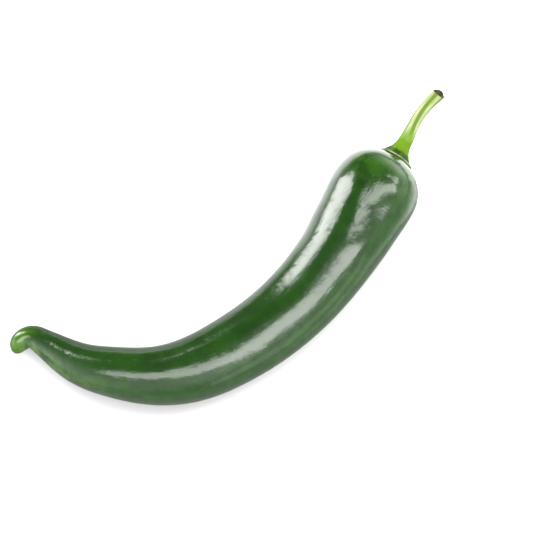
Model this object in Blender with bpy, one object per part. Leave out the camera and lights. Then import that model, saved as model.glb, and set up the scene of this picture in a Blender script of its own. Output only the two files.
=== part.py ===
"""A long green chilli pepper, lying on its side: a curved pod, its calyx and its cut stem.

Metres, +Z up. The pepper lies on the plane z = 0, and the origin is on that plane under the middle
of its box. +X runs from the tip towards the cut end of the stem.

Each piece is a loft: rings of points around a centreline, closed with a point at each end. The
centreline lies in a level plane apart from its height, and turns by a few smooth bends.
"""

import math

import bmesh
import bpy
import numpy as np

MM = 0.001

# Pod
POD_LENGTH = 154.0 * MM  # along the centreline, from the calyx seat to the tip
POD_RADIUS = 13.65 * MM  # where the pod is widest, just below the shoulder
SHOULDER_DEPTH = 8.5 * MM  # how far down the pod its rounded shoulder reaches
SHOULDER_FLATNESS = 2.55  # 2 would be a round dome, more is flatter on top
TIP_DEPTH = 3.8 * MM  # length of the rounded end
TIP_FLATNESS = 2.0
SEAT_HEADING = -151.3  # degrees from +X, the way the pod leaves the calyx seat
# Turn in degrees, its middle and its spread as shares of the pod's length
POD_BENDS = ((-37.5, 0.40, 0.55), (-33.8, 0.655, 0.248), (-22.0, 0.827, 0.121))
HOOK_TURN = 100.0  # degrees, the curl at the tip, against the pod's own curve
HOOK_PLACE = 0.959  # share of the pod's length
HOOK_EASE = 1.66  # bend radius of the curl, in pod radii at that place
WIDEST_PLACE = 0.07  # share of the pod's length
# Share of the length, and the radius there as a share of POD_RADIUS
POD_TAPER = (
    (0.00, 0.758), (WIDEST_PLACE, 1.000), (0.16, 0.951), (0.27, 0.864), (0.38, 0.823), (0.50, 0.786),
    (0.60, 0.733), (0.70, 0.638), (0.79, 0.540), (0.87, 0.415), (0.93, 0.296), (1.00, 0.188),
)
LOBES = 3  # shallow ribs that run down the pod
LOBE_DEPTH = 0.015  # share of the local radius
LOBE_TURN = 0.5  # radians, where the first lobe lies
LOBE_RISE = (0.6, 2.6)  # the lobes begin and are full at these distances, in shoulder depths
LOBE_FADE = (0.4, 0.9)  # they fade out between these shares of the pod's length
TIP_LIFT = 1.5 * MM  # how far the tip stands off the surface
TIP_LIFT_START = 0.86  # share of the pod's length

# Calyx
SEAT_GAP = 0.3 * MM  # clearance between neighbouring pieces
CALYX_RADIUS = 6.9 * MM  # at the rim
CALYX_HEIGHT = 6.4 * MM  # from the seat to the neck
CALYX_OFFSET = 0.65 * MM  # how far its axis lies to one side of the pod's
CALYX_FLARE = 2.0  # how quickly the cone draws in above the rim
RIM_THICKNESS = 0.5 * MM
TOOTH_COUNT = 5
TOOTH_REACH = 0.55 * MM

# Stem
STEM_LENGTH = 20.9 * MM
STEM_RADIUS = 1.95 * MM  # half way along
STEM_COLLAR = 0.55 * MM  # how much wider the stem is where it meets the calyx
COLLAR_FADE = (0.0, 0.31)  # shares of the stem's length
STEM_FLARE = 0.25 * MM  # how much wider it is at the cut end
FLARE_RISE = (0.63, 0.97)  # shares of the stem's length
STEM_BENDS = ((7.0, 0.14, 0.28), (-22.0, 0.50, 0.80))
CUT_DEPTH = 0.8 * MM  # rounding of the cut end
CUT_FLATNESS = 3.0
RIBS = 5
RIB_DEPTH = 0.05  # share of the stem's radius
RIB_RISE = (0.0, 0.2)  # shares of the stem's length
NECK_LEDGE = 0.15 * MM  # how far the stem's collar stands proud of the neck

# Facets
POD_SIDES = 30
POD_RING_STEP = 0.24  # distance between rings, in local radii
DOME_RINGS = 9
CALYX_SIDES = 40
CALYX_RINGS = 6
UNDERSIDE_RINGS = (0.4, 0.75, 1.0)  # shares of the rim's radius
STEM_SIDES = 20
STEM_RINGS = 14
CUT_RINGS = 5

NECK_RADIUS = STEM_RADIUS + STEM_COLLAR - NECK_LEDGE


def ease(x):
    """0 below x = 0, 1 above x = 1, with a smooth rise between them."""
    x = min(max(x, 0.0), 1.0)
    return x * x * (3.0 - 2.0 * x)


def rise_between(x, span):
    """0 at the start of the span, 1 at its end, with a smooth rise between them."""
    return ease((x - span[0]) / (span[1] - span[0]))


def smooth_through(stations, x):
    """A smooth curve through (place, value) pairs."""
    places = [place for place, _ in stations]
    values = [value for _, value in stations]
    last = len(stations) - 1
    left = min(max(int(np.searchsorted(places, x)) - 1, 0), last - 1)

    def slope(i):
        before, after = max(i - 1, 0), min(i + 1, last)
        return (values[after] - values[before]) / (places[after] - places[before])

    width = places[left + 1] - places[left]
    t = (x - places[left]) / width
    rise = ease(t)
    start_pull = t * (1.0 - t) ** 2 * width * slope(left)
    end_pull = t * t * (t - 1.0) * width * slope(left + 1)
    return (1.0 - rise) * values[left] + rise * values[left + 1] + start_pull + end_pull


def dome(depth, flatness):
    """Share of the full radius at a depth, given as a share, below the top of a rounded end."""
    remaining = 1.0 - min(max(depth, 0.0), 1.0)
    return (1.0 - remaining ** flatness) ** (1.0 / flatness)


def dome_places(depth, flatness, count):
    """Depths of the rings that follow a rounded end evenly, the top point left out."""
    quarter = math.pi / 2.0
    return [depth * (1.0 - math.cos(quarter * i / count) ** (2.0 / flatness)) for i in range(1, count)]


class Centreline:
    """A level path of a given length that turns by smooth bends."""

    def __init__(self, start, heading, length, bends, steps=1200):
        places = np.linspace(0.0, 1.0, steps + 1)
        turned = [sum(turn * ease((p - mid) / spread + 0.5) for turn, mid, spread in bends) for p in places]
        angles = np.radians(heading + np.array(turned))
        middles = (angles[1:] + angles[:-1]) / 2.0
        step = length / steps
        self.length = length
        self.places = places
        self.angles = angles
        self.x = start[0] + np.concatenate([[0.0], np.cumsum(np.cos(middles) * step)])
        self.y = start[1] + np.concatenate([[0.0], np.cumsum(np.sin(middles) * step)])

    def at(self, distance):
        """Point and heading at a distance from the start."""
        p = distance / self.length
        x = float(np.interp(p, self.places, self.x))
        y = float(np.interp(p, self.places, self.y))
        return x, y, float(np.interp(p, self.places, self.angles))


def ring_point(path, distance, height, angle, radius):
    """A point on the ring around the path. Angle 0 is level, on the path's left, and 90 degrees is up."""
    x, y, heading = path.at(distance)
    side = radius * math.cos(angle)
    return (x - side * math.sin(heading), y + side * math.cos(heading), height + radius * math.sin(angle))


def loft(name, rings, first, last, material):
    """A closed object through rings of points, with a point at each end, its faces pointing out."""
    mesh = bmesh.new()
    rows = [[mesh.verts.new(point) for point in ring] for ring in rings]
    start, end = mesh.verts.new(first), mesh.verts.new(last)
    count = len(rows[0])
    for i in range(count):
        j = (i + 1) % count
        mesh.faces.new((start, rows[0][j], rows[0][i]))
        mesh.faces.new((end, rows[-1][i], rows[-1][j]))
        for low, high in zip(rows, rows[1:]):
            mesh.faces.new((low[i], low[j], high[j], high[i]))
    bmesh.ops.recalc_face_normals(mesh, faces=mesh.faces)
    data = bpy.data.meshes.new(name)
    mesh.to_mesh(data)
    mesh.free()
    data.shade_smooth()
    data.materials.append(material)
    piece = bpy.data.objects.new(name, data)
    bpy.context.scene.collection.objects.link(piece)
    return piece


def around(count):
    return [2.0 * math.pi * i / count for i in range(count)]


def plant_material(name, colour, roughness):
    material = bpy.data.materials.new(name)
    material.use_nodes = True
    shader = material.node_tree.nodes["Principled BSDF"]
    shader.inputs["Base Color"].default_value = (*colour, 1.0)
    shader.inputs["Roughness"].default_value = roughness
    shader.inputs["Metallic"].default_value = 0.0
    return material


# Pod ---------------------------------------------------------------------------------------------


def pod_girth(distance):
    """Radius of the pod's tapering body, before its ends are rounded."""
    return POD_RADIUS * smooth_through(POD_TAPER, distance / POD_LENGTH)


def pod_radius(distance, angle=None):
    """Radius of the pod's skin. With no angle, the mean over the lobes."""
    shoulder = dome(distance / SHOULDER_DEPTH, SHOULDER_FLATNESS)
    tip = dome((POD_LENGTH - distance) / TIP_DEPTH, TIP_FLATNESS)
    radius = pod_girth(distance) * shoulder * tip
    if angle is None:
        return radius
    begun = rise_between(distance / SHOULDER_DEPTH, LOBE_RISE)
    left = 1.0 - rise_between(distance / POD_LENGTH, LOBE_FADE)
    return radius * (1.0 + LOBE_DEPTH * begun * left * math.cos(LOBES * (angle - LOBE_TURN)))


def pod_depth(radius):
    """How far below the seat the shoulder reaches a given radius."""
    low, high = 0.0, SHOULDER_DEPTH
    for _ in range(50):
        middle = (low + high) / 2.0
        if pod_radius(middle) < radius:
            low = middle
        else:
            high = middle
    return low


def pod_height(distance):
    """Height of the centreline: the pod lies on its side, with its tip a little off the surface."""
    place = max(distance / POD_LENGTH, WIDEST_PLACE)
    lift = TIP_LIFT * rise_between(place, (TIP_LIFT_START, 1.0))
    return pod_girth(place * POD_LENGTH) + lift


def pod_path():
    hook_spread = HOOK_EASE * math.radians(HOOK_TURN) * pod_girth(HOOK_PLACE * POD_LENGTH) / POD_LENGTH
    bends = POD_BENDS + ((HOOK_TURN, HOOK_PLACE, hook_spread),)
    return Centreline((0.0, 0.0), SEAT_HEADING, POD_LENGTH, bends)


def pod_places():
    """Distances of the pod's rings: close together on the rounded ends and where the pod is thin."""
    shoulder = dome_places(SHOULDER_DEPTH, SHOULDER_FLATNESS, DOME_RINGS)
    tip = [POD_LENGTH - depth for depth in dome_places(TIP_DEPTH, TIP_FLATNESS, DOME_RINGS)]
    places = list(shoulder)
    while places[-1] + POD_RING_STEP * pod_girth(places[-1]) < tip[-1]:
        places.append(places[-1] + POD_RING_STEP * pod_girth(places[-1]))
    return places + tip[::-1]


def build_pod():
    path = pod_path()
    rings = []
    for distance in pod_places():
        height = pod_height(distance)
        rings.append([
            ring_point(path, distance, height, angle, pod_radius(distance, angle))
            for angle in around(POD_SIDES)
        ])
    top = ring_point(path, 0.0, pod_height(0.0), 0.0, 0.0)
    tip = ring_point(path, POD_LENGTH, pod_height(POD_LENGTH), 0.0, 0.0)
    return loft("pod", rings, top, tip, plant_material("pod_skin", (0.030, 0.105, 0.012), 0.16))


# Calyx -------------------------------------------------------------------------------------------


def calyx_rim(angle):
    """Rim radius: a round disc with a few small blunt teeth."""
    return CALYX_RADIUS + TOOTH_REACH * (1.0 - 2.0 * abs(math.sin(TOOTH_COUNT * angle / 2.0)))


def calyx_point(rise, angle, radius):
    """A point on a ring around the calyx's axis, which points away from the pod."""
    heading = math.radians(SEAT_HEADING + 180.0)
    side = radius * math.cos(angle) - CALYX_OFFSET
    x = rise * math.cos(heading) - side * math.sin(heading)
    y = rise * math.sin(heading) + side * math.cos(heading)
    return x, y, pod_height(0.0) + radius * math.sin(angle)


def shoulder_rise(angle, radius):
    """How far above the seat a calyx ring clears the shoulder of the pod."""
    from_pod_axis = math.hypot(radius * math.cos(angle) - CALYX_OFFSET, radius * math.sin(angle))
    return SEAT_GAP - pod_depth(from_pod_axis)


def calyx_underside(angle, share):
    """Follows the shoulder of the pod, a clearance above it."""
    radius = share * calyx_rim(angle)
    return calyx_point(shoulder_rise(angle, radius), angle, radius)


def calyx_top(angle, climb):
    """From the rim, at climb 0, up the hollow cone to the neck, at climb 1."""
    rim = calyx_rim(angle) - RIM_THICKNESS / 2.0
    rim_rise = shoulder_rise(angle, rim) + RIM_THICKNESS
    radius = NECK_RADIUS + (rim - NECK_RADIUS) * (1.0 - climb) ** CALYX_FLARE
    return calyx_point(rim_rise + (CALYX_HEIGHT - rim_rise) * climb, angle, radius)


def build_calyx():
    angles = around(CALYX_SIDES)
    rings = [[calyx_underside(angle, share) for angle in angles] for share in UNDERSIDE_RINGS]
    rings += [[calyx_top(angle, i / CALYX_RINGS) for angle in angles] for i in range(CALYX_RINGS + 1)]
    bottom = calyx_point(shoulder_rise(0.0, 0.0), 0.0, 0.0)
    top = calyx_point(CALYX_HEIGHT, 0.0, 0.0)
    return loft("calyx", rings, bottom, top, plant_material("calyx_green", (0.13, 0.26, 0.03), 0.45))


# Stem --------------------------------------------------------------------------------------------


def stem_radius(distance, angle):
    place = distance / STEM_LENGTH
    collar = STEM_COLLAR * (1.0 - rise_between(place, COLLAR_FADE))
    flare = STEM_FLARE * rise_between(place, FLARE_RISE)
    ribs = 1.0 + RIB_DEPTH * rise_between(place, RIB_RISE) * math.cos(RIBS * angle)
    return (STEM_RADIUS + collar + flare) * ribs * dome((STEM_LENGTH - distance) / CUT_DEPTH, CUT_FLATNESS)


def build_stem():
    start = calyx_point(CALYX_HEIGHT + SEAT_GAP, 0.0, 0.0)
    path = Centreline(start, SEAT_HEADING + 180.0, STEM_LENGTH, STEM_BENDS)
    shaft = STEM_LENGTH - CUT_DEPTH
    places = [shaft * i / STEM_RINGS for i in range(STEM_RINGS + 1)]
    places += [STEM_LENGTH - depth for depth in dome_places(CUT_DEPTH, CUT_FLATNESS, CUT_RINGS)[::-1]]
    rings = [
        [ring_point(path, distance, start[2], angle, stem_radius(distance, angle))
         for angle in around(STEM_SIDES)]
        for distance in places
    ]
    end = ring_point(path, STEM_LENGTH, start[2], 0.0, 0.0)
    return loft("stem", rings, start, end, plant_material("stem_green", (0.22, 0.36, 0.07), 0.5))


# Whole pepper ------------------------------------------------------------------------------------


def set_on_origin(pieces):
    """Moves the pieces together, so that the origin is under the middle of their box."""
    corners = np.array([vertex.co for piece in pieces for vertex in piece.data.vertices])
    low, high = corners.min(axis=0), corners.max(axis=0)
    shift = (-(low[0] + high[0]) / 2.0, -(low[1] + high[1]) / 2.0, -low[2])
    for piece in pieces:
        for vertex in piece.data.vertices:
            vertex.co = [value + move for value, move in zip(vertex.co, shift)]


def main():
    for thing in list(bpy.data.objects):
        bpy.data.objects.remove(thing, do_unlink=True)
    set_on_origin([build_pod(), build_calyx(), build_stem()])


main()
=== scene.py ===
"""Looks of the green chilli pepper: its fine surface, its materials, a pale floor and soft studio light."""

import math

import bpy
import numpy as np
from mathutils import Matrix, Vector


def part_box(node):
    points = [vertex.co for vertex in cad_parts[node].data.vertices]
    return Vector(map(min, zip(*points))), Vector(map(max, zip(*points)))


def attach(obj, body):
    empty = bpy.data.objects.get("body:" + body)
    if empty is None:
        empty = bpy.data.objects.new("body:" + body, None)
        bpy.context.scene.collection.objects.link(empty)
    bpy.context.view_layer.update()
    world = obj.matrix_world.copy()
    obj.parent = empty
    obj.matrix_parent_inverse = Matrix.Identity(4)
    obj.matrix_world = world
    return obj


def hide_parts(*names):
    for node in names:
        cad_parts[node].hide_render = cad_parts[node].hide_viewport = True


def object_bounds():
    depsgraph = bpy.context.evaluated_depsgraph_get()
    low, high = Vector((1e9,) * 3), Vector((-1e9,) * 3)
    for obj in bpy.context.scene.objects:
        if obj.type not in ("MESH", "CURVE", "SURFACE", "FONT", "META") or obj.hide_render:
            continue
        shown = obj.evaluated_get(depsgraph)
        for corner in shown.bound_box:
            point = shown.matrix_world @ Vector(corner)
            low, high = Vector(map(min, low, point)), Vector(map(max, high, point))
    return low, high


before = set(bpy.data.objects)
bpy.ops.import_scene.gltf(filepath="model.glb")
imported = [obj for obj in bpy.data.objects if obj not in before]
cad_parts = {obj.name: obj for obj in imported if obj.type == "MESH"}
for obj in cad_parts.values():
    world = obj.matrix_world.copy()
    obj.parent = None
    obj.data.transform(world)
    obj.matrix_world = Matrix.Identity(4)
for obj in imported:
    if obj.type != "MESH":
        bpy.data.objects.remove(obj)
cad_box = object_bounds()

MM = 0.001

# Shape of the pepper ---------------------------------------------------------------------------
# The same driving values as the CAD pieces. Lengths are in metres, and places on the pod and the stem are
# shares of their lengths.

POD_LENGTH = 154.0 * MM
POD_RADIUS = 13.65 * MM
SHOULDER_DEPTH = 8.5 * MM
SHOULDER_FLATNESS = 2.55
TIP_DEPTH = 3.8 * MM
TIP_FLATNESS = 2.0
SEAT_HEADING = -151.3  # degrees from +X
POD_BENDS = ((-37.5, 0.40, 0.55), (-33.8, 0.655, 0.248), (-22.0, 0.827, 0.121))
HOOK_TURN = 100.0  # degrees
HOOK_PLACE = 0.959
HOOK_EASE = 1.66  # bend radius of the hook, in pod radii at its place
WIDEST_PLACE = 0.07
POD_TAPER = (
    (0.00, 0.758), (WIDEST_PLACE, 1.000), (0.16, 0.951), (0.27, 0.864), (0.38, 0.823), (0.50, 0.786),
    (0.60, 0.733), (0.70, 0.638), (0.79, 0.540), (0.87, 0.415), (0.93, 0.296), (1.00, 0.188),
)
TIP_LIFT = 1.5 * MM
TIP_LIFT_START = 0.86

CALYX_RADIUS = 6.9 * MM
CALYX_HEIGHT = 6.4 * MM
CALYX_OFFSET = 0.65 * MM
CALYX_FLARE = 2.0
RIM_THICKNESS = 0.5 * MM
TEETH = 5
TOOTH_REACH = 0.55 * MM

STEM_LENGTH = 20.9 * MM
STEM_RADIUS = 1.95 * MM
STEM_COLLAR = 0.55 * MM
STEM_FLARE = 0.25 * MM
STEM_BENDS = ((7.0, 0.14, 0.28), (-22.0, 0.50, 0.80))
STEM_RIBS = 5
STEM_RIB_RISE = (0.0, 0.2)
CUT_DEPTH = 0.8 * MM
CUT_FLATNESS = 3.0

LOBES = 3
LOBE_DEPTH = 0.015  # share of the local radius
LOBE_TURN = 0.5  # radians
LOBE_RISE = (0.6, 2.6)  # distances in shoulder depths
LOBE_FADE = (0.4, 0.9)

# Finer relief of the skin, which the CAD pod leaves out ----------------------------------------

FURROW_DEPTH = 0.30 * MM  # where the lobes meet below the calyx
FURROW_WIDTH = 0.26  # radians
FURROW_START = 2.5 * MM  # they are deep from this distance on
FURROW_FADE = 13.0 * MM  # and die away over about this distance
WAVES_START = 8.0 * MM  # the waves are full from this distance on
WAVES_END = 12.0 * MM  # and fade out over this distance before the tip
LONG_WAVE = 0.10 * MM
LONG_WAVE_PATTERN = (11, 9, 5)  # seed, cells along, cells around
SHORT_WAVE = 0.022 * MM
SHORT_WAVE_PATTERN = (23, 44, 15)
CALM_SHARE = 0.45  # what is left of the short waves far from the shoulder
CALM_PLACE = 0.25  # about where they calm down
# Swells and dents of the fleshy shoulder: distance from the seat, angle in degrees from the left side
# over the top, half length, half width and height
SWELLS = (
    (37.0 * MM, 92.0, 18.0 * MM, 5.2 * MM, 0.72 * MM),
    (33.0 * MM, 34.0, 22.0 * MM, 11.0 * MM, 0.65 * MM),
    (56.0 * MM, 111.0, 10.0 * MM, 4.2 * MM, -0.55 * MM),
    (35.0 * MM, 150.0, 6.0 * MM, 6.0 * MM, -0.35 * MM),
    (14.0 * MM, 90.0, 6.5 * MM, 6.2 * MM, -0.75 * MM),
    (33.0 * MM, 60.0, 5.5 * MM, 3.8 * MM, 0.55 * MM),
    (66.0 * MM, 46.0, 10.0 * MM, 5.0 * MM, -0.50 * MM),
    (21.0 * MM, 105.0, 4.8 * MM, 3.6 * MM, 0.35 * MM),
)

# Fineness of the pod's mesh
POD_RINGS = 430
POD_END_RINGS = 26
POD_SIDES = 168


# Geometry helpers ------------------------------------------------------------------------------

PATH_STEPS = 2400  # short straight steps that make up a centreline


def ease(x):
    """0 below x = 0, 1 above x = 1, with a smooth rise between them."""
    x = np.clip(x, 0.0, 1.0)
    return x * x * (3.0 - 2.0 * x)


def rise_between(x, span):
    """0 at the start of the span, 1 at its end, with a smooth rise between them."""
    return ease((x - span[0]) / (span[1] - span[0]))


def share_of_turn(angle):
    """An angle as a share of a full turn, from 0 to 1."""
    return (angle / (2.0 * math.pi)) % 1.0


def smooth_through(stations, x):
    """A smooth curve through (place, value) pairs."""
    places = np.array([place for place, _ in stations])
    values = np.array([value for _, value in stations])
    slopes = np.gradient(values, places)
    slopes[1:-1] = (values[2:] - values[:-2]) / (places[2:] - places[:-2])
    left = np.clip(np.searchsorted(places, x) - 1, 0, len(places) - 2)
    width = places[left + 1] - places[left]
    t = (x - places[left]) / width
    rise = ease(t)
    start_pull = t * (1.0 - t) ** 2 * width * slopes[left]
    end_pull = t * t * (t - 1.0) * width * slopes[left + 1]
    return (1.0 - rise) * values[left] + rise * values[left + 1] + start_pull + end_pull


def dome(depth, flatness):
    """Share of the full radius at a depth, as a share, below the top of a rounded end."""
    remaining = 1.0 - np.clip(depth, 0.0, 1.0)
    return (1.0 - remaining ** flatness) ** (1.0 / flatness)


def dome_places(depth, flatness, count):
    """Depths of the rings that follow a rounded end evenly, the top point left out."""
    quarter = math.pi / 2.0
    return depth * (1.0 - np.cos(quarter * np.arange(1, count) / count) ** (2.0 / flatness))


class Centreline:
    """A level path of a given length that turns by smooth bends."""

    def __init__(self, start, heading, length, bends):
        """Each bend is its turn in degrees, and its middle and spread as shares of the length."""
        self.length = length
        self.places = np.linspace(0.0, 1.0, PATH_STEPS + 1)
        turned = sum(turn * ease((self.places - mid) / spread + 0.5) for turn, mid, spread in bends)
        self.angles = np.radians(heading + turned)
        middles = (self.angles[1:] + self.angles[:-1]) / 2.0
        step = length / PATH_STEPS
        self.x = start[0] + np.concatenate([[0.0], np.cumsum(np.cos(middles) * step)])
        self.y = start[1] + np.concatenate([[0.0], np.cumsum(np.sin(middles) * step)])

    def rings(self, distances, heights, angles, radii):
        """Points around the path, at angles from its left side and radii from its middle."""
        p = distances / self.length
        x = np.interp(p, self.places, self.x)
        y = np.interp(p, self.places, self.y)
        heading = np.interp(p, self.places, self.angles)
        side = radii * np.cos(angles)
        up = radii * np.sin(angles)
        points = (x - side * np.sin(heading), y + side * np.cos(heading), heights + up)
        return np.stack(np.broadcast_arrays(*points), axis=-1)


def soft_noise(pattern, down, across):
    """Smooth random relief between -1 and 1. It repeats across, where it goes round a piece."""
    seed, rows, columns = pattern
    lattice = np.random.default_rng(seed).uniform(-1.0, 1.0, (rows + 2, columns))
    i = np.clip(np.floor(down * rows).astype(int), 0, rows)
    j = np.floor(across * columns).astype(int)
    s = ease(down * rows - i)
    t = ease(across * columns - j)
    here = j % columns
    beyond = (j + 1) % columns
    top = lattice[i, here] * (1.0 - t) + lattice[i, beyond] * t
    bottom = lattice[i + 1, here] * (1.0 - t) + lattice[i + 1, beyond] * t
    return top * (1.0 - s) + bottom * s


def loft(name, rows, first, last, attributes):
    """A closed, smooth mesh object through rows of points, with a point at each end.

    attributes maps a name to one value for each ring point and for the two end points.
    """
    ring_count, side_count = rows.shape[:2]
    points = np.concatenate([rows.reshape(-1, 3), [first, last]])
    start = ring_count * side_count
    end = start + 1
    low = np.arange(start).reshape(ring_count, side_count)
    turned = np.roll(low, -1, axis=1)
    walls = np.stack([low[:-1], turned[:-1], turned[1:], low[1:]], axis=-1).reshape(-1, 4)
    faces = [tuple(int(v) for v in wall) for wall in walls]
    faces += [(start, int(b), int(a)) for a, b in zip(low[0], turned[0])]
    faces += [(end, int(a), int(b)) for a, b in zip(low[-1], turned[-1])]
    mesh = bpy.data.meshes.new(name)
    mesh.from_pydata([tuple(point) for point in points.tolist()], [], faces)
    for key, values in attributes.items():
        values = np.asarray(values, dtype=np.float32)
        if values.ndim == 2:
            layer = mesh.attributes.new(key, "FLOAT_VECTOR", "POINT")
            layer.data.foreach_set("vector", values.ravel())
        else:
            layer = mesh.attributes.new(key, "FLOAT", "POINT")
            layer.data.foreach_set("value", values)
    mesh.update()
    mesh.shade_smooth()
    if signed_volume(points, walls) < 0.0:
        mesh.flip_normals()
    piece = bpy.data.objects.new(name, mesh)
    bpy.context.scene.collection.objects.link(piece)
    return piece


def signed_volume(points, walls):
    """Positive if the walls face out."""
    a, b, c, d = (points[walls[:, k]] for k in range(4))
    first = np.einsum("ij,ij->i", a, np.cross(b, c))
    second = np.einsum("ij,ij->i", a, np.cross(c, d))
    return float((first + second).sum())


def with_ends(values, first, last):
    """Ring values followed by those of the two end points."""
    values = np.asarray(values)
    flat = values.reshape(-1, values.shape[-1]) if values.ndim == 3 else values.ravel()
    return np.concatenate([flat, [first, last]])


def circle(count):
    """Angles evenly round a full turn."""
    return np.linspace(0.0, 2.0 * math.pi, count, endpoint=False)


# Pod -------------------------------------------------------------------------------------------

SHOULDER_SAMPLES = 4000  # depths looked up to find where the calyx sits


def pod_girth(distance):
    """Radius of the pod before its ends are rounded."""
    return POD_RADIUS * smooth_through(POD_TAPER, distance / POD_LENGTH)


def pod_radius(distance):
    """Mean radius of the skin."""
    shoulder = dome(distance / SHOULDER_DEPTH, SHOULDER_FLATNESS)
    tip = dome((POD_LENGTH - distance) / TIP_DEPTH, TIP_FLATNESS)
    return pod_girth(distance) * shoulder * tip


def pod_depth(radius):
    """How far below the seat the shoulder reaches a given radius."""
    depths = np.linspace(0.0, SHOULDER_DEPTH, SHOULDER_SAMPLES)
    return np.interp(radius, pod_radius(depths), depths)


def pod_height(distance):
    """Height of the pod's middle: its belly lies on the floor and its tip stands off it."""
    place = np.maximum(distance / POD_LENGTH, WIDEST_PLACE)
    lift = TIP_LIFT * ease((place - TIP_LIFT_START) / (1.0 - TIP_LIFT_START))
    return pod_girth(place * POD_LENGTH) + lift


def pod_path():
    """The pod's middle line: its own gentle bends, then the hook at the tip."""
    hook_spread = HOOK_EASE * math.radians(HOOK_TURN) * pod_girth(HOOK_PLACE * POD_LENGTH) / POD_LENGTH
    bends = POD_BENDS + ((HOOK_TURN, HOOK_PLACE, float(hook_spread)),)
    return Centreline((0.0, 0.0), SEAT_HEADING, POD_LENGTH, bends)


def pod_relief(distance, angle, radius):
    """How far the skin stands off its mean radius: lobes, furrows, slow waves and swells."""
    place = distance / POD_LENGTH
    lobe_share = rise_between(distance / SHOULDER_DEPTH, LOBE_RISE) * (1.0 - rise_between(place, LOBE_FADE))
    relief = radius * LOBE_DEPTH * lobe_share * np.cos(LOBES * (angle - LOBE_TURN))

    half_lobe = math.pi / LOBES
    from_valley = (angle - LOBE_TURN) % (2.0 * half_lobe) - half_lobe
    furrow = np.exp(-((from_valley / FURROW_WIDTH) ** 2))
    furrow_share = ease(distance / FURROW_START) * np.exp(-distance / FURROW_FADE)
    relief = relief - FURROW_DEPTH * furrow * furrow_share

    waves = ease(distance / WAVES_START) * ease((POD_LENGTH - distance) / WAVES_END)
    across = share_of_turn(angle)
    relief = relief + LONG_WAVE * waves * soft_noise(LONG_WAVE_PATTERN, place, across)
    liveliness = CALM_SHARE + (1.0 - CALM_SHARE) * np.exp(-((place / CALM_PLACE) ** 2))
    relief = relief + SHORT_WAVE * waves * liveliness * soft_noise(SHORT_WAVE_PATTERN, place, across)

    for at, towards, half_length, half_width, height in SWELLS:
        across_skin = radius * ((angle - math.radians(towards) + math.pi) % (2.0 * math.pi) - math.pi)
        reach = ((distance - at) / half_length) ** 2 + (across_skin / half_width) ** 2
        relief = relief + height * np.exp(-reach)
    return relief


def build_pod():
    shoulder = dome_places(SHOULDER_DEPTH, SHOULDER_FLATNESS, POD_END_RINGS)
    tip = POD_LENGTH - dome_places(TIP_DEPTH, TIP_FLATNESS, POD_END_RINGS)[::-1]
    middle = np.linspace(shoulder[-1], tip[0], POD_RINGS)[1:-1]
    distances = np.concatenate([shoulder, middle, tip])
    angles = circle(POD_SIDES)[None, :]
    mean = pod_radius(distances)[:, None]
    radii = mean + pod_relief(distances[:, None], angles, mean)
    path = pod_path()
    heights = pod_height(distances)
    rows = path.rings(distances[:, None], heights[:, None], angles, radii)
    ends = np.array([0.0, POD_LENGTH])
    caps = path.rings(ends, pod_height(ends), 0.0, 0.0)
    deep = np.broadcast_to(distances[:, None], radii.shape)
    straight = np.stack([radii * np.cos(angles), radii * np.sin(angles), deep], axis=-1)
    attributes = {
        "straight": with_ends(straight, (0.0, 0.0, 0.0), (0.0, 0.0, POD_LENGTH)),
        "along": with_ends(deep / POD_LENGTH, 0.0, 1.0),
    }
    return loft("pod_skin", rows, caps[0], caps[1], attributes)


# Calyx -----------------------------------------------------------------------------------------

CALYX_SIDES = 220
CALYX_RIBS = 10
CALYX_RIB_HEIGHT = 0.13 * MM
CALYX_RIB_STRETCH = 1.15  # the ribs' height follows half a wave, stretched and shifted along the climb
CALYX_RIB_SHIFT = 0.05
CALYX_RIB_FULLNESS = 0.8
RAGGED_EDGE = 0.10 * MM
RAGGED_PATTERN = (5, 2, 23)  # seed, cells along, cells around
CRINKLE = 0.09 * MM
CRINKLE_PATTERN = (7, 6, 41)
CRINKLE_FADE = 3  # the higher, the nearer to the rim the crinkles stay
UNDERSIDE_GAP = 0.04 * MM  # between the pod and the calyx
RIM_LIFT = 0.12 * MM  # how far the rim's edge curls off the pod
RIM_CURL = 6  # the higher, the nearer to the edge the curl stays
RIM_BULGE = 0.10 * MM
CONE_START = 0.25 * MM  # how far inside the rim the cone begins
UNDERSIDE_RINGS = (0.30, 0.60, 0.80, 0.90, 0.97)  # shares of the rim's radius
EDGE_RINGS = (0.2, 0.5, 0.8)  # shares of the rim's thickness
CONE_RINGS = 46
RING_CROWDING = 1.4  # more than 1 crowds the rings towards the rim
NECK_RADIUS = STEM_RADIUS + STEM_COLLAR

# The "climb" that colours the calyx is 0 at the foot of the cone and 1 at the neck
UNDERSIDE_CLIMB = -1.0
EDGE_CLIMB = 0.02


def calyx_rim(angle):
    """Rim radius: a round disc with a few small blunt teeth and a slightly ragged edge."""
    teeth = TOOTH_REACH * (1.0 - 2.0 * np.abs(np.sin(TEETH * angle / 2.0)))
    ragged = RAGGED_EDGE * soft_noise(RAGGED_PATTERN, np.zeros_like(angle), share_of_turn(angle))
    return CALYX_RADIUS + teeth + ragged


def calyx_points(rise, angle, radius):
    """Points on rings around the calyx's axis, which points away from the pod."""
    heading = math.radians(SEAT_HEADING + 180.0)
    side = radius * np.cos(angle) - CALYX_OFFSET
    x = rise * math.cos(heading) - side * math.sin(heading)
    y = rise * math.sin(heading) + side * math.cos(heading)
    z = float(pod_height(np.array([0.0]))[0]) + radius * np.sin(angle)
    return np.stack([x + 0.0 * z, y + 0.0 * z, z], axis=-1)


def shoulder_rise(angle, radius):
    """How far the pod's skin lies along the calyx's axis from the seat, below it and so negative."""
    from_pod_axis = np.hypot(radius * np.cos(angle) - CALYX_OFFSET, radius * np.sin(angle))
    return -pod_depth(from_pod_axis)


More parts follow.
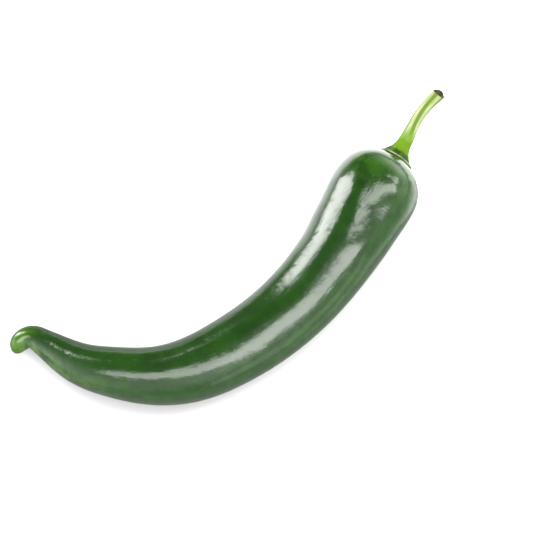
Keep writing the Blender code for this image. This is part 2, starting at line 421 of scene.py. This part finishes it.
def cone_ring(angles, rim, climb):
    """One ring of the calyx's ribbed and crinkled upper side."""
    foot = rim - CONE_START
    radius = NECK_RADIUS + (foot - NECK_RADIUS) * (1.0 - climb) ** CALYX_FLARE
    foot_rise = shoulder_rise(angles, foot) + RIM_LIFT + RIM_THICKNESS
    rise = foot_rise + (CALYX_HEIGHT - foot_rise) * climb
    half_wave = math.pi * min(climb * CALYX_RIB_STRETCH + CALYX_RIB_SHIFT, 1.0)
    rib_share = math.sin(half_wave) ** CALYX_RIB_FULLNESS
    ribs = CALYX_RIB_HEIGHT * rib_share * np.cos(CALYX_RIBS * angles)
    noise = soft_noise(CRINKLE_PATTERN, np.full_like(angles, climb), share_of_turn(angles))
    crinkle = CRINKLE * (1.0 - climb) ** CRINKLE_FADE * noise
    return calyx_points(rise + crinkle, angles, radius + ribs)


def build_calyx():
    angles = circle(CALYX_SIDES)
    rim = calyx_rim(angles)
    rows = []
    climbs = []

    for share in UNDERSIDE_RINGS:
        radius = share * rim
        lift = RIM_LIFT * share ** RIM_CURL + UNDERSIDE_GAP
        rows.append(calyx_points(shoulder_rise(angles, radius) + lift, angles, radius))
        climbs.append(UNDERSIDE_CLIMB)

    edge = shoulder_rise(angles, rim) + RIM_LIFT + UNDERSIDE_GAP
    for share in EDGE_RINGS:
        bulge = RIM_BULGE * math.sin(math.pi * share)
        rows.append(calyx_points(edge + RIM_THICKNESS * share, angles, rim + bulge))
        climbs.append(EDGE_CLIMB * share)

    for climb in np.linspace(0.0, 1.0, CONE_RINGS + 1) ** RING_CROWDING:
        rows.append(cone_ring(angles, rim, climb))
        climbs.append(climb)

    rows = np.array(rows)
    climbs = np.broadcast_to(np.array(climbs)[:, None], rows.shape[:2])
    ribs = np.broadcast_to(np.cos(CALYX_RIBS * angles)[None, :], rows.shape[:2])
    round_places = np.stack([np.cos(angles), np.sin(angles), 0.0 * angles], axis=-1) * CALYX_RADIUS
    straight = round_places[None] + np.array([0.0, 0.0, CALYX_HEIGHT]) * climbs[..., None]
    zero = np.zeros(1)
    bottom = calyx_points(shoulder_rise(zero, zero) + UNDERSIDE_GAP, zero, zero)[0]
    top = calyx_points(CALYX_HEIGHT + zero, zero, zero)[0]
    attributes = {
        "straight": with_ends(straight, (0.0, 0.0, 0.0), (0.0, 0.0, CALYX_HEIGHT)),
        "climb": with_ends(climbs, UNDERSIDE_CLIMB, 1.0),
        "rib": with_ends(ribs, 0.0, 0.0),
    }
    return loft("calyx_cap", rows, bottom, top, attributes)


# Stem ------------------------------------------------------------------------------------------

STEM_SIDES = 120
STEM_RINGS = 150
CUT_RINGS = 16
STEM_RIB_HEIGHT = 0.06  # share of the radius
STEM_TWIST = 0.35  # radians from end to end
COLLAR_FADE = (0.0, 0.3125)  # shares of the length
FLARE_RISE = (0.6333, 0.9667)
FIBRE_HEIGHT = 0.015  # share of the radius
FIBRE_PATTERN = (3, 3, 37)  # seed, cells along, cells around
CUT_SLANT = 0.55  # how far the cut leans back for its height
CUT_LEAN = (0.80, 1.00)  # where the rings go over from upright to slanted
CUT_REACH = 0.9 * MM  # how much further the low edge of the slanted cut reaches


def build_stem():
    length = STEM_LENGTH + CUT_REACH
    start = calyx_points(np.array([CALYX_HEIGHT]), np.zeros(1), np.zeros(1))[0]
    path = Centreline(start, SEAT_HEADING + 180.0, length, STEM_BENDS)
    shaft = np.linspace(0.0, length - CUT_DEPTH, STEM_RINGS)
    cut = length - dome_places(CUT_DEPTH, CUT_FLATNESS, CUT_RINGS)[::-1]
    distances = np.concatenate([shaft, cut])[:, None]
    angles = circle(STEM_SIDES)[None, :]
    place = distances / length

    collar = STEM_COLLAR * (1.0 - rise_between(place, COLLAR_FADE))
    flare = STEM_FLARE * rise_between(place, FLARE_RISE)
    mean = (STEM_RADIUS + collar + flare) * dome((length - distances) / CUT_DEPTH, CUT_FLATNESS)
    turned = angles + STEM_TWIST * place
    ribs = np.cos(STEM_RIBS * turned)
    rib_height = STEM_RIB_HEIGHT * rise_between(place, STEM_RIB_RISE)
    fibres = soft_noise(FIBRE_PATTERN, place + 0.0 * angles, share_of_turn(turned))
    radii = mean * (1.0 + rib_height * ribs + FIBRE_HEIGHT * fibres)

    slant = CUT_SLANT * rise_between(place, CUT_LEAN)
    drawn_back = slant * (mean + radii * np.sin(angles))
    rows = path.rings(distances - drawn_back, start[2], angles, radii)
    middle_drawn_back = CUT_SLANT * (STEM_RADIUS + STEM_FLARE)
    caps = path.rings(np.array([0.0, length - middle_drawn_back]), start[2], 0.0, 0.0)

    deep = np.broadcast_to(distances, radii.shape)
    straight = np.stack([radii * np.cos(angles), radii * np.sin(angles), deep], axis=-1)
    attributes = {
        "straight": with_ends(straight, (0.0, 0.0, 0.0), (0.0, 0.0, length)),
        "along": with_ends(deep / length, 0.0, 1.0),
        "rib": with_ends(np.broadcast_to(ribs, radii.shape), 0.0, 0.0),
    }
    return loft("stem_stalk", rows, caps[0], caps[1], attributes)


# Shader maths ----------------------------------------------------------------------------------


class Value:
    """A shader socket that can be used in sums, differences, products and quotients."""

    def __init__(self, tree, socket):
        self.tree = tree
        self.socket = socket

    def __add__(self, other):
        return self.tree.math("ADD", self, other)

    def __sub__(self, other):
        return self.tree.math("SUBTRACT", self, other)

    def __rsub__(self, other):
        return self.tree.math("SUBTRACT", other, self)

    def __mul__(self, other):
        return self.tree.math("MULTIPLY", self, other)

    def __truediv__(self, other):
        return self.tree.math("DIVIDE", self, other)

    __radd__ = __add__
    __rmul__ = __mul__


class Tree:
    """A node tree to which nodes are added by type."""

    def __init__(self, owner):
        owner.use_nodes = True
        self.tree = owner.node_tree
        self.tree.nodes.clear()

    def node(self, kind, settings=None, **inputs):
        """Adds a node: its settings first, then the values or links of its sockets."""
        made = self.tree.nodes.new(kind)
        for key, value in (settings or {}).items():
            if key == "stops":
                self.set_stops(made.color_ramp, value)
            else:
                setattr(made, key, value)
        for key, value in inputs.items():
            self.feed(pick(made.inputs, key), value)
        return made

    def value(self, kind, settings=None, output=0, **inputs):
        """Adds a node and gives one of its outputs."""
        made = self.node(kind, settings, **inputs)
        socket = made.outputs[output] if isinstance(output, int) else pick(made.outputs, output)
        return Value(self, socket)

    def feed(self, socket, value):
        if isinstance(value, Value):
            self.tree.links.new(value.socket, socket)
        elif isinstance(value, tuple) and socket.type == "RGBA":
            socket.default_value = (*value, 1.0)
        else:
            socket.default_value = value

    def math(self, operation, *values):
        made = self.node("ShaderNodeMath", {"operation": operation})
        for socket, value in zip(made.inputs, values):
            self.feed(socket, value)
        return Value(self, made.outputs[0])

    def ramp(self, factor, stops):
        """A colour that goes from stop to stop, each a place and a colour."""
        return self.value("ShaderNodeValToRGB", {"stops": stops}, Fac=factor)

    def bump(self, height, strength, distance):
        """The Normal of a surface with a fine relief."""
        return self.value("ShaderNodeBump", None, Strength=strength, Distance=distance, Height=height)

    def between(self, value, low, high):
        """0 at low, 1 at high, smooth between them."""
        return self.value(
            "ShaderNodeMapRange", {"interpolation_type": "SMOOTHSTEP"},
            Value=value, From_Min=low, From_Max=high,
        )

    def blend(self, mask, a, b, amount=1.0):
        """Colour a where the mask is 0. Where it is 1, as much of colour b as the amount says."""
        factor = mask if amount == 1.0 else mask * amount
        return self.value(
            "ShaderNodeMix", {"data_type": "RGBA"}, output="Result_Color",
            Factor_Float=factor, A_Color=a, B_Color=b,
        )

    def grey(self, value):
        """A number as a colour."""
        return self.value("ShaderNodeCombineColor", None, Red=value, Green=value, Blue=value)

    def scaled(self, vector, scale):
        """Stretches a vector by another one."""
        return self.value("ShaderNodeVectorMath", {"operation": "MULTIPLY"}, Vector=vector, Vector_001=scale)

    def noise(self, vector, scale, detail=3.0, roughness=0.5):
        return self.value(
            "ShaderNodeTexNoise", None, Vector=vector, Scale=scale, Detail=detail, Roughness=roughness
        )

    def attribute(self, name, output="Fac"):
        return self.value("ShaderNodeAttribute", {"attribute_name": name}, output=output)

    @staticmethod
    def set_stops(ramp, stops):
        while len(ramp.elements) < len(stops):
            ramp.elements.new(1.0)
        for element, (place, colour) in zip(ramp.elements, stops):
            element.position = place
            element.color = (*colour, 1.0)


def pick(sockets, key):
    """A socket by its identifier or name, with _ for a space."""
    for socket in sockets:
        if socket.identifier == key:
            return socket
    return sockets[key.replace("_", " ")]


def finish_material(name, build):
    """A new material: build(tree) gives what feeds the Principled BSDF."""
    material = bpy.data.materials.new(name)
    tree = Tree(material)
    shader = tree.node("ShaderNodeBsdfPrincipled", None, **build(tree))
    output = tree.node("ShaderNodeOutputMaterial")
    tree.tree.links.new(shader.outputs[0], output.inputs[0])
    return material


# Materials -------------------------------------------------------------------------------------

SKIN_DEEP = (0.0027, 0.0175, 0.0004)
SKIN_MID = (0.0044, 0.0240, 0.0006)
SKIN_LIGHT = (0.0072, 0.0335, 0.0011)
SKIN_SEAT = (0.0150, 0.0520, 0.0014)
SKIN_TIP = (0.0360, 0.0920, 0.0015)
# Painted reflection: pale grey-green patches on the pod's left side near the tip
SKIN_LOW_TIP_PAINTED_REFLECTION = (0.0650, 0.1200, 0.0260)
# Painted light and painted reflection: a paler, greyer green for the pod's left side
SKIN_FLANK_PAINTED_LIGHT = (0.0190, 0.0545, 0.0120)
SKIN_SPECK = (0.0130, 0.0280, 0.0045)
SKIN_IOR = 1.47
SKIN_ROUGHNESS = 0.105
PAINTED_FLANK_EVEN = 0.4  # how much of the left side's painted light and reflection is there all over, and how much only in patches
PAINTED_FLANK_PATCHY = 0.3
STREAK_STRETCH = (1.0, 1.0, 0.14)
WRINKLE_STRETCH = (1.0, 1.0, 0.35)
ACROSS_ONLY = (1.0, 1.0, 0.0)


def skin(tree):
    """Deep green waxy skin: mottled, streaked lengthwise, with faint pale specks."""
    straight = tree.attribute("straight", "Vector")
    along = tree.attribute("along")
    slow = tree.noise(straight, scale=70.0)
    mottle = tree.noise(straight, scale=260.0, detail=4.0, roughness=0.6)
    streaks = tree.noise(tree.scaled(straight, STREAK_STRETCH), scale=900.0, detail=4.0, roughness=0.62)
    wrinkles = tree.noise(tree.scaled(straight, WRINKLE_STRETCH), scale=420.0, roughness=0.55)
    fine = tree.noise(straight, scale=3200.0, detail=2.0)
    cells = tree.value("ShaderNodeTexVoronoi", {"feature": "F1"}, Vector=straight, Scale=850.0)
    speck = (1.0 - tree.between(cells, 0.05, 0.17)) * tree.between(slow, 0.40, 0.60)

    green = tree.blend(tree.between(slow, 0.38, 0.66), SKIN_DEEP, SKIN_MID)
    green = tree.blend(tree.between(mottle, 0.40, 0.80), green, SKIN_LIGHT, amount=0.50)
    green = tree.blend(tree.between(streaks, 0.52, 0.74), green, SKIN_LIGHT, amount=0.25)
    green = yellower_ends(tree, green, along, mottle)
    # Painted light and painted reflection: the pod's left side is made paler and greyer
    green = painted_light_on_flank(tree, green, straight, along, slow, mottle)
    green = tree.blend(speck, green, SKIN_SPECK, amount=0.25)

    relief = wrinkles * 0.9 + mottle * 1.3 + streaks * 0.35 + fine * 0.15 - speck * 0.3
    return {
        "Base_Color": green,
        "Roughness": SKIN_ROUGHNESS + streaks * 0.07 + fine * 0.03,
        "Normal": tree.bump(relief, strength=0.30, distance=0.30 * MM),
        "IOR": SKIN_IOR,
    }


def yellower_ends(tree, green, along, mottle):
    """The green turns yellower in patches below the calyx, and evenly towards the tip."""
    seat = 1.0 - tree.between(along, 0.01, 0.16)
    green = tree.blend(seat * tree.between(mottle, 0.30, 0.70), green, SKIN_SEAT, amount=0.75)
    tip = tree.between(along + (mottle - 0.5) * 0.06, 0.925, 1.0)
    return tree.blend(tip, green, SKIN_TIP, amount=0.85)


def painted_light_on_flank(tree, green, straight, along, slow, mottle):
    """Painted light and painted reflection: the pod's left side is made paler and greyer, and palest near
    the tip.
    """
    side = tree.value("ShaderNodeSeparateXYZ", None, output="X", Vector=straight)
    from_middle = tree.value(
        "ShaderNodeVectorMath", {"operation": "LENGTH"}, output="Value",
        Vector=tree.scaled(straight, ACROSS_ONLY),
    )
    # Mask of the painted light and reflection on the pod's left side
    painted_flank = tree.between(side / from_middle + (slow - 0.5) * 0.3, 0.35, 0.95)
    cover = tree.between(mottle, 0.30, 0.70) * PAINTED_FLANK_PATCHY + PAINTED_FLANK_EVEN
    green = tree.blend(painted_flank * cover, green, SKIN_FLANK_PAINTED_LIGHT)
    # Painted reflection: pale patches on the left side near the tip
    painted_tip_reflection = painted_flank * tree.between(along, 0.72, 0.92) * tree.between(mottle, 0.34, 0.72)
    return tree.blend(painted_tip_reflection, green, SKIN_LOW_TIP_PAINTED_REFLECTION, amount=0.75)


CAP_RIM = (0.160, 0.200, 0.075)
CAP_SKIRT = (0.006, 0.024, 0.001)
CAP_CONE = (0.060, 0.128, 0.0005)
CAP_NECK = (0.072, 0.138, 0.004)
CAP_RIB = (0.060, 0.118, 0.005)
CAP_ROUGHNESS = 0.50
CAP_SHINE = 0.06


def cap(tree):
    """Calyx: bright yellow-green cone, dark crinkled skirt, thin pale rim."""
    straight = tree.attribute("straight", "Vector")
    climb = tree.attribute("climb")
    rib = tree.attribute("rib")
    slow = tree.noise(straight, scale=520.0)
    grain = tree.noise(straight, scale=2400.0, detail=4.0, roughness=0.6)

    colour = tree.ramp(climb + (slow - 0.5) * 0.22, (
        (0.000, CAP_RIM), (0.012, CAP_RIM), (0.045, CAP_SKIRT), (0.300, CAP_SKIRT),
        (0.440, CAP_CONE), (1.000, CAP_NECK),
    ))
    colour = tree.blend(tree.between(rib, -0.2, 0.9), colour, CAP_RIB, amount=0.30)
    colour = tree.blend(tree.between(grain, 0.48, 0.70), colour, CAP_SKIRT, amount=0.35)
    return {
        "Base_Color": colour,
        "Roughness": CAP_ROUGHNESS + grain * 0.20,
        "Normal": tree.bump(grain + slow, strength=0.6, distance=0.40 * MM),
        "Specular_IOR_Level": CAP_SHINE,
    }


STALK_GROOVE = (0.052, 0.092, 0.002)
STALK_RIB = (0.148, 0.186, 0.062)
STALK_PALE = (0.235, 0.262, 0.155)
STALK_BASE = (0.070, 0.135, 0.004)
CUT_DARK = (0.010, 0.008, 0.003)
CUT_LIGHT = (0.028, 0.023, 0.009)
STALK_ROUGHNESS = 0.42
STALK_SHINE = 0.16
FIBRE_STRETCH = (1.0, 1.0, 0.10)


def stalk(tree):
    """Stem: pale ribs, greener grooves, fine fibres, and a brown dry cut end."""
    straight = tree.attribute("straight", "Vector")
    along = tree.attribute("along")
    rib = tree.attribute("rib")
    fibres = tree.noise(tree.scaled(straight, FIBRE_STRETCH), scale=1700.0, detail=4.0, roughness=0.6)
    blotches = tree.noise(straight, scale=700.0, detail=2.0)

    colour = tree.blend(tree.between(rib, -0.75, 0.55), STALK_GROOVE, STALK_RIB)
    pale = tree.between(fibres, 0.42, 0.62) * tree.between(rib, -0.4, 0.5)
    colour = tree.blend(pale, colour, STALK_PALE, amount=0.6)
    colour = tree.blend(1.0 - tree.between(along, 0.02, 0.26), colour, STALK_BASE)
    cut = tree.between(along + (blotches - 0.5) * 0.02, 0.955, 0.975)
    wood = tree.blend(tree.between(blotches, 0.35, 0.65), CUT_DARK, CUT_LIGHT)
    colour = tree.blend(cut, colour, wood)
    return {
        "Base_Color": colour,
        "Roughness": STALK_ROUGHNESS + fibres * 0.15 + cut * 0.3,
        "Normal": tree.bump(fibres + blotches * 0.3, strength=0.45, distance=0.15 * MM),
        "Specular_IOR_Level": STALK_SHINE,
    }


# Pieces on the frame ---------------------------------------------------------------------------


def place_pieces(pieces):
    """Moves all pieces together until the first, the pod, lies in the CAD pod's place."""
    low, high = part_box("pod")
    points = np.array([vertex.co for vertex in pieces[0].data.vertices])
    middle = (points.min(axis=0) + points.max(axis=0)) / 2.0
    target = (np.array(low) + np.array(high)) / 2.0
    shift = np.array([target[0] - middle[0], target[1] - middle[1], low[2] - points[:, 2].min()])
    for piece in pieces:
        for vertex in piece.data.vertices:
            vertex.co += Vector(shift)


def dress(piece, node, slot, build):
    """Gives a piece its material, hangs it on the root body and hides the CAD node that it stands for."""
    piece.data.materials.append(finish_material(slot, build))
    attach(piece, "root")
    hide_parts(node)


pod = build_pod()
calyx = build_calyx()
stem = build_stem()
place_pieces([pod, calyx, stem])
dress(pod, "pod", "pod_skin", skin)
dress(calyx, "calyx", "calyx_green", cap)
dress(stem, "stem", "stem_green", stalk)

# Camera ----------------------------------------------------------------------------------------

VIEW_TURN = math.radians(-31.4)
VIEW_RISE = math.radians(74.0)  # above the floor
VIEW_DISTANCE = 468.75 * MM
VIEW_SHIFT = Vector((2.15, -1.75, -1.76)) * MM  # of the point aimed at, from the middle of the CAD box
LENS = 100.0  # millimetres, as the sensor
SENSOR = 36.0

centre = (cad_box[0] + cad_box[1]) / 2.0
aim = centre + VIEW_SHIFT


def studio(x, y, z):
    """A direction seen from the camera's side: x to its right, y away from it, z up."""
    return Matrix.Rotation(VIEW_TURN, 3, "Z") @ Vector((x, y, z))


back = studio(0.0, -math.cos(VIEW_RISE), math.sin(VIEW_RISE))
camera = bpy.data.objects.new("camera", bpy.data.cameras.new("camera"))
camera.data.lens = LENS
camera.data.sensor_width = SENSOR
camera.location = aim + back * VIEW_DISTANCE
camera.rotation_mode = "QUATERNION"
camera.rotation_quaternion = (-back).to_track_quat("-Z", "Y")
bpy.context.scene.collection.objects.link(camera)
bpy.context.scene.camera = camera

# Floor -----------------------------------------------------------------------------------------

FLOOR_SIZE = 5.0  # metres
PAPER_SEEN = 0.44  # share of the light that reaches the eye
PAPER_BOUNCE = 0.21  # share that the pepper gets back
PAPER_GRAIN = 0.02
PAPER_ROUGHNESS = 0.9


def paper_floor(tree):
    """Pale paper with a faint grain. It throws back less light than is seen, like a burnt-out backdrop."""
    place = tree.value("ShaderNodeTexCoord", None, output="Object")
    grain = (tree.noise(place, scale=900.0, detail=2.0) - 0.5) * PAPER_GRAIN
    seen = tree.value("ShaderNodeLightPath", None, output="Is_Camera_Ray")
    shade = grain + PAPER_BOUNCE + seen * (PAPER_SEEN - PAPER_BOUNCE)
    return {"Base_Color": tree.grey(shade), "Roughness": PAPER_ROUGHNESS, "Specular_IOR_Level": 0.0}


def build_floor():
    half = FLOOR_SIZE / 2.0
    corners = [(-half, -half, 0.0), (half, -half, 0.0), (half, half, 0.0), (-half, half, 0.0)]
    mesh = bpy.data.meshes.new("floor")
    mesh.from_pydata(corners, [], [(0, 1, 2, 3)])
    mesh.materials.append(finish_material("floor_paper", paper_floor))
    floor = bpy.data.objects.new("floor", mesh)
    bpy.context.scene.collection.objects.link(floor)
    return floor


# Light -----------------------------------------------------------------------------------------

# Distances and sizes are in metres here, angles in degrees
LIGHT_DISTANCE = 1.15
SWEEP_LAMP_RADIUS = 0.03
# Name, azimuth, elevation, size, roll, radiance, seen in gloss, lights matt surfaces
PANELS = (
    ("left_box", 142.0, 16.0, (0.27, 0.95), 14.0, 18.0),
    ("front_strip", 311.0, 55.0, (0.50, 0.79), 31.0, 9.7, True, False),
    ("front_strip_left", 226.5, 66.4, (0.45, 0.85), -70.5, 7.8, True, False),
    ("right_box", 18.5, 60.6, (0.35, 0.94), -15.0, 10.5),
    ("front_card", 308.0, 0.0, (1.00, 0.60), 0.0, 1.66, True, False),
)
# Name, lamp's place, target, beam, softness, energy
SWEEPS = (
    ("back_right_sweep", (0.100, 0.082, 0.25), (0.100, 0.074, 0.0), 22.0, 1.0, 50.0),
    ("back_left_sweep", (-0.24, 0.38, 0.30), (0.012, 0.085, 0.0), 21.0, 1.0, 260.0),
)
# Soft glows of the room in reflections: azimuth, elevation and strength
GLOWS = (
    (300.0, 45.0, 2.67), (240.0, 45.0, 1.2), (225.0, 8.0, 1.1),
    (0.0, 8.0, 1.2), (45.0, 8.0, 5.7), (180.0, 8.0, 3.9),
)
GLOW_SPREAD = 0.12  # the higher, the wider the glows
GLOW_FLOOR = 0.15  # reflected brightness between the glows
ROOM_LIGHT = 3.4  # brightness to matt surfaces
ROOM_SEEN = 1.2  # brightness to the eye


def towards_studio(azimuth, elevation):
    """Unit direction from the pepper, in degrees from the camera's right and above the floor."""
    turn = math.radians(azimuth)
    rise = math.radians(elevation)
    return studio(math.cos(rise) * math.cos(turn), math.cos(rise) * math.sin(turn), math.sin(rise))


def panel(name, azimuth, elevation, size, roll, radiance, gloss=True, matt=True):
    """A rectangular light that faces the pepper, its width turned by roll from level."""
    light = bpy.data.lights.new(name, "AREA")
    light.shape = "RECTANGLE"
    light.size, light.size_y = size
    light.energy = radiance * math.pi * size[0] * size[1]
    lamp = bpy.data.objects.new(name, light)
    away = towards_studio(azimuth, elevation)
    level = Vector((0.0, 0.0, 1.0)).cross(away).normalized()
    upright = away.cross(level)
    turn = math.radians(roll)
    across = level * math.cos(turn) + upright * math.sin(turn)
    lamp.location = away * LIGHT_DISTANCE + Vector((0.0, 0.0, POD_RADIUS))
    lamp.rotation_mode = "QUATERNION"
    lamp.rotation_quaternion = Matrix((across, away.cross(across), away)).transposed().to_quaternion()
    lamp.visible_camera = False
    lamp.visible_glossy = gloss
    lamp.visible_diffuse = matt
    bpy.context.scene.collection.objects.link(lamp)


def sweep_light(name, place, target, beam, softness, energy, receivers):
    """A round beam that only the receivers get. Place and target are x, y, z as studio() has them."""
    light = bpy.data.lights.new(name, "SPOT")
    light.energy = energy
    light.spot_size = math.radians(beam)
    light.spot_blend = softness
    light.shadow_soft_size = SWEEP_LAMP_RADIUS
    lamp = bpy.data.objects.new(name, light)
    start = studio(*place)
    end = studio(*target)
    lamp.location = start
    lamp.rotation_mode = "QUATERNION"
    lamp.rotation_quaternion = (end - start).to_track_quat("-Z", "Y")
    lamp.visible_camera = False
    lamp.visible_glossy = False
    lamp.light_linking.receiver_collection = receivers
    bpy.context.scene.collection.objects.link(lamp)


def reflected_glow(tree):
    """A dim room with a few soft glows, by direction."""
    direction = tree.value("ShaderNodeTexCoord", None, output="Generated")
    glow = GLOW_FLOOR
    for azimuth, elevation, strength in GLOWS:
        facing = tree.value(
            "ShaderNodeVectorMath", {"operation": "DOT_PRODUCT"}, output="Value",
            Vector=direction, Vector_001=tuple(towards_studio(azimuth, elevation)),
        )
        glow = tree.math("EXPONENT", (facing - 1.0) / GLOW_SPREAD) * strength + glow
    return glow


def build_surroundings():
    """A white room to the eye and to matt surfaces, and the dim glowing one to reflections."""
    world = bpy.data.worlds.new("surroundings")
    bpy.context.scene.world = world
    tree = Tree(world)
    seen = tree.value("ShaderNodeLightPath", None, output="Is_Camera_Ray")
    soft = tree.value("ShaderNodeLightPath", None, output="Is_Diffuse_Ray")
    unseen = soft * ROOM_LIGHT + (1.0 - soft) * reflected_glow(tree)
    brightness = seen * ROOM_SEEN + (1.0 - seen) * unseen
    background = tree.node("ShaderNodeBackground", None, Color=tree.grey(brightness), Strength=1.0)
    output = tree.node("ShaderNodeOutputWorld")
    tree.tree.links.new(background.outputs[0], output.inputs[0])


floor_only = bpy.data.collections.new("floor_only")
floor_only.objects.link(build_floor())
for setup in PANELS:
    panel(*setup)
for setup in SWEEPS:
    sweep_light(*setup, floor_only)
build_surroundings()
bpy.context.scene.view_settings.view_transform = "Standard"
